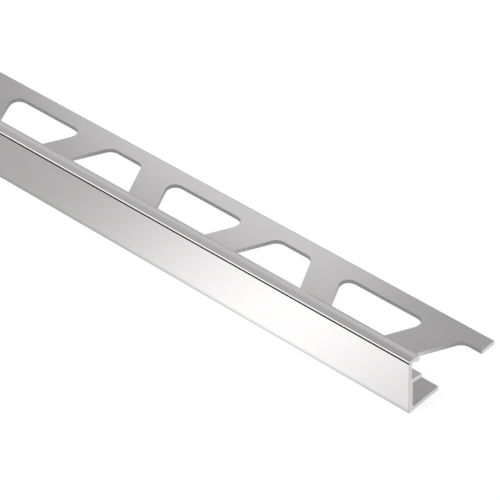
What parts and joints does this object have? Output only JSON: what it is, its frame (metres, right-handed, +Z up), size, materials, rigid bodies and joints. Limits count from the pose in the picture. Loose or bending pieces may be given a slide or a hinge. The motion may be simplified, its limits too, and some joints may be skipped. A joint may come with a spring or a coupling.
{
  "type": "tile edge trim",
  "caption": "Aluminium tile edge trim: tall polished face, lip that turns back over the tile, and a flat leg punched with slanted trapezoid openings.",
  "frame": {"origin": "middle of the stick's footprint on the floor, at the underside of the leg", "axes": "+X along the stick, to the end that is cut through the middle of an opening; +Y from the polished face to the outer edge of the leg; +Z up, from the leg to the lip"},
  "size_m": [1, 0.025, 0.0125],
  "materials": {
    "polished_anodised_aluminium": "polished face and lip edge, satin anodised inside and leg"
  },
  "bodies": {
    "root": {"edge_trim": "polished_anodised_aluminium"}
  },
  "joints": []
}
